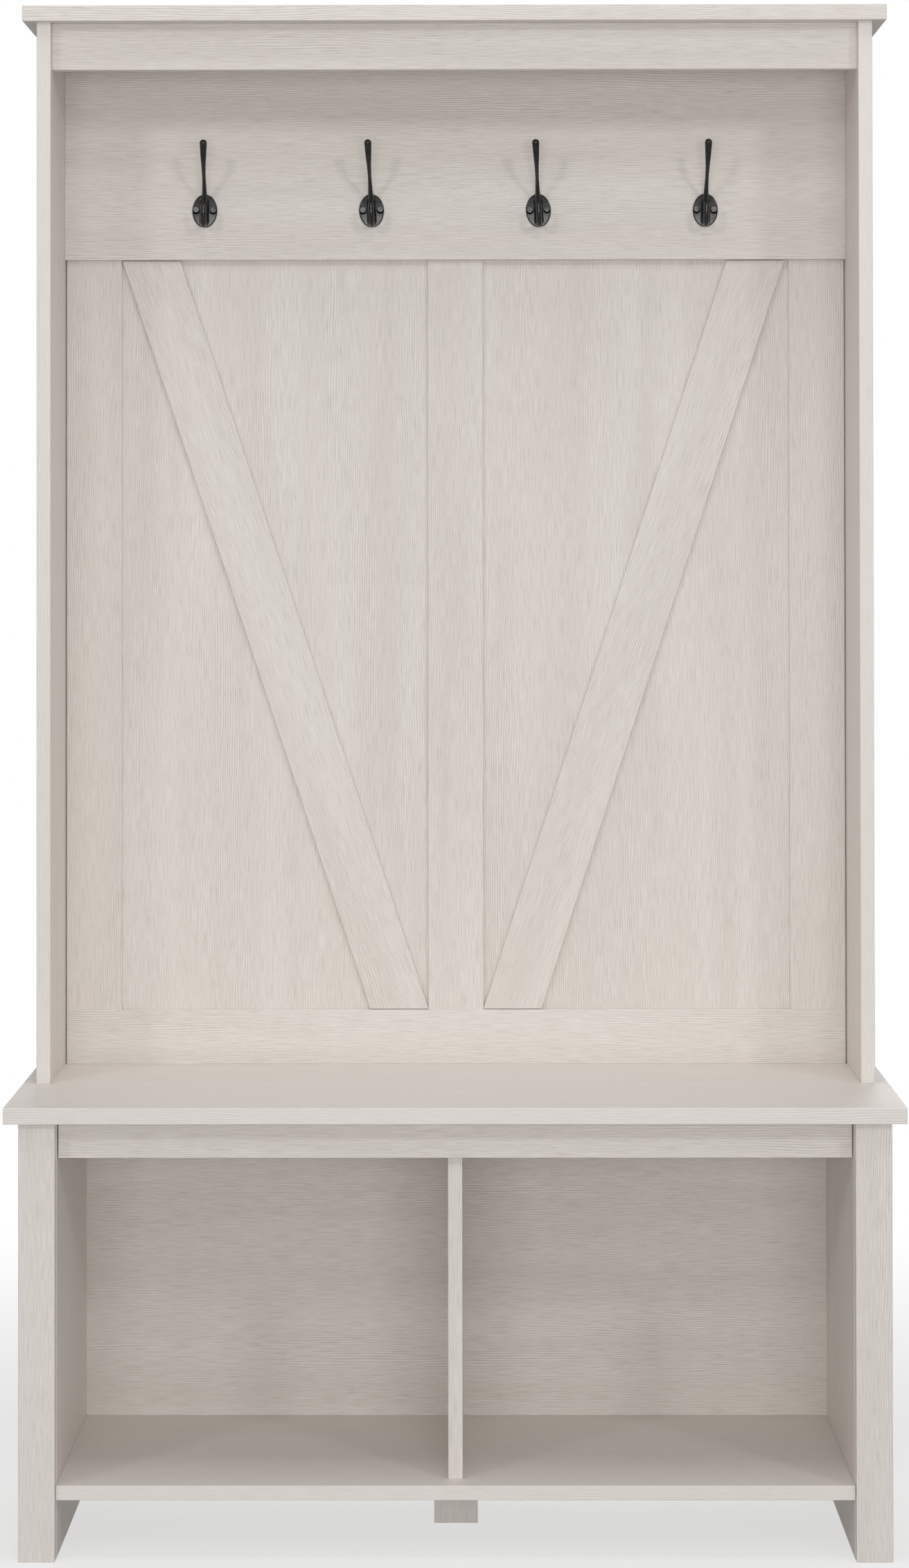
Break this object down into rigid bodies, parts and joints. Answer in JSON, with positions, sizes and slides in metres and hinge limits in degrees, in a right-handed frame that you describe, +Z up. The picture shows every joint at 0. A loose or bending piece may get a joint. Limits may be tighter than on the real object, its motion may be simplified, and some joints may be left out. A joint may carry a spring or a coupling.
{
  "type": "hall tree",
  "caption": "Tall hall tree: a bench with two open cubbies, and a braced panelled back that carries double-pronged coat hooks.",
  "frame": {"origin": "on the floor, in the middle of the bench's footprint", "axes": "+X to the right as seen from the front, +Y to the wall, +Z up"},
  "size_m": [1, 0.4, 1.75],
  "materials": {
    "whitewashed_laminate": "whitewashed woodgrain laminate, embossed, matt",
    "black_casting": "gloss black lacquer on a casting",
    "black_steel": "black plated, satin",
    "zinc_plated_steel": "bright zinc plate",
    "zinc_casting": "raw zinc die casting",
    "beech": "plain fluted beech"
  },
  "bodies": {
    "root": {"bench_top": "whitewashed_laminate", "left_side_panel": "whitewashed_laminate", "right_side_panel": "whitewashed_laminate", "left_front_leg": "whitewashed_laminate", "right_front_leg": "whitewashed_laminate", "left_rear_leg": "whitewashed_laminate", "right_rear_leg": "whitewashed_laminate", "apron": "whitewashed_laminate", "divider": "whitewashed_laminate", "bottom_shelf": "whitewashed_laminate", "centre_foot": "whitewashed_laminate", "cabinet_back": "whitewashed_laminate", "hutch_top": "whitewashed_laminate", "hutch_left_side": "whitewashed_laminate", "hutch_right_side": "whitewashed_laminate", "left_rear_panel": "whitewashed_laminate", "right_rear_panel": "whitewashed_laminate", "top_rail": "whitewashed_laminate", "hook_board": "whitewashed_laminate", "bottom_rail": "whitewashed_laminate", "centre_stile": "whitewashed_laminate", "left_stile": "whitewashed_laminate", "right_stile": "whitewashed_laminate", "left_brace": "whitewashed_laminate", "right_brace": "whitewashed_laminate", "hook_1": "black_casting", "hook_2": "black_casting", "hook_3": "black_casting", "hook_4": "black_casting", "hook_screws": "black_steel", "rear_panel_screws": "zinc_plated_steel", "trim_screws": "zinc_plated_steel", "confirmat_screws": "zinc_plated_steel", "bracket_screws": "zinc_plated_steel", "apron_brackets": "zinc_plated_steel", "back_nails": "zinc_plated_steel", "cam_bolts": "zinc_plated_steel", "cam_locks": "zinc_casting", "dowels": "beech"}
  },
  "joints": []
}
